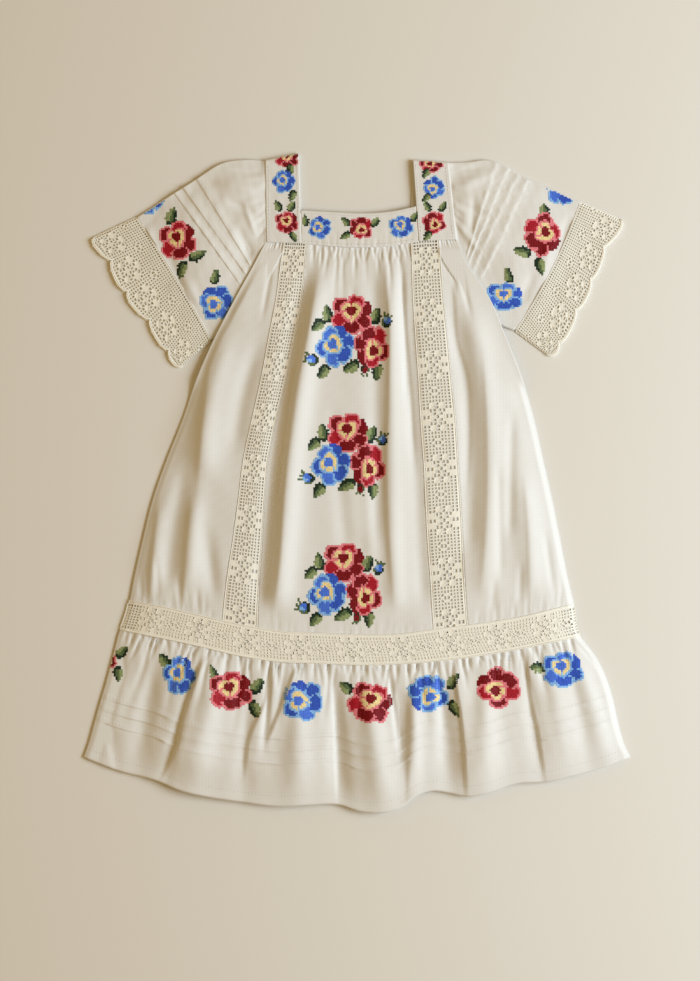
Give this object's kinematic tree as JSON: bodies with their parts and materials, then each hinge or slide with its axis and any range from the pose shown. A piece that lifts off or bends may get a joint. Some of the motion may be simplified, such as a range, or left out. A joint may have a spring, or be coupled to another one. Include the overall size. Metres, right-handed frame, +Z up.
{
  "type": "embroidered dress",
  "caption": "Toddler's short-sleeved cotton dress with a square embroidered yoke, filet lace insertions, a lace band and a gathered flounce, laid out flat on its back.",
  "frame": {"origin": "centre of the dress's bounding box, on the surface that it lies on", "axes": "the dress lies flat with +Z up out of the front, +Y from the hem towards the neck, and +X to the viewer's right seen from above with the neck up"},
  "size_m": [0.4376, 0.527, 0.0137],
  "materials": {
    "cotton": "matte plain-weave cotton",
    "lace": "matte cotton filet lace"
  },
  "bodies": {
    "root": {"strap_left": "cotton", "strap_right": "cotton", "neck_band_front": "cotton", "neck_band_back": "cotton", "front_centre_panel": "cotton", "front_side_panel_left": "cotton", "front_side_panel_right": "cotton", "lace_insertion_left": "lace", "lace_insertion_right": "lace", "back_panel": "cotton", "lace_band_front": "lace", "lace_band_back": "lace", "flounce_front": "cotton", "flounce_back": "cotton", "sleeve_left": "cotton", "sleeve_right": "cotton", "sleeve_lace_left": "lace", "sleeve_lace_right": "lace"}
  },
  "joints": []
}
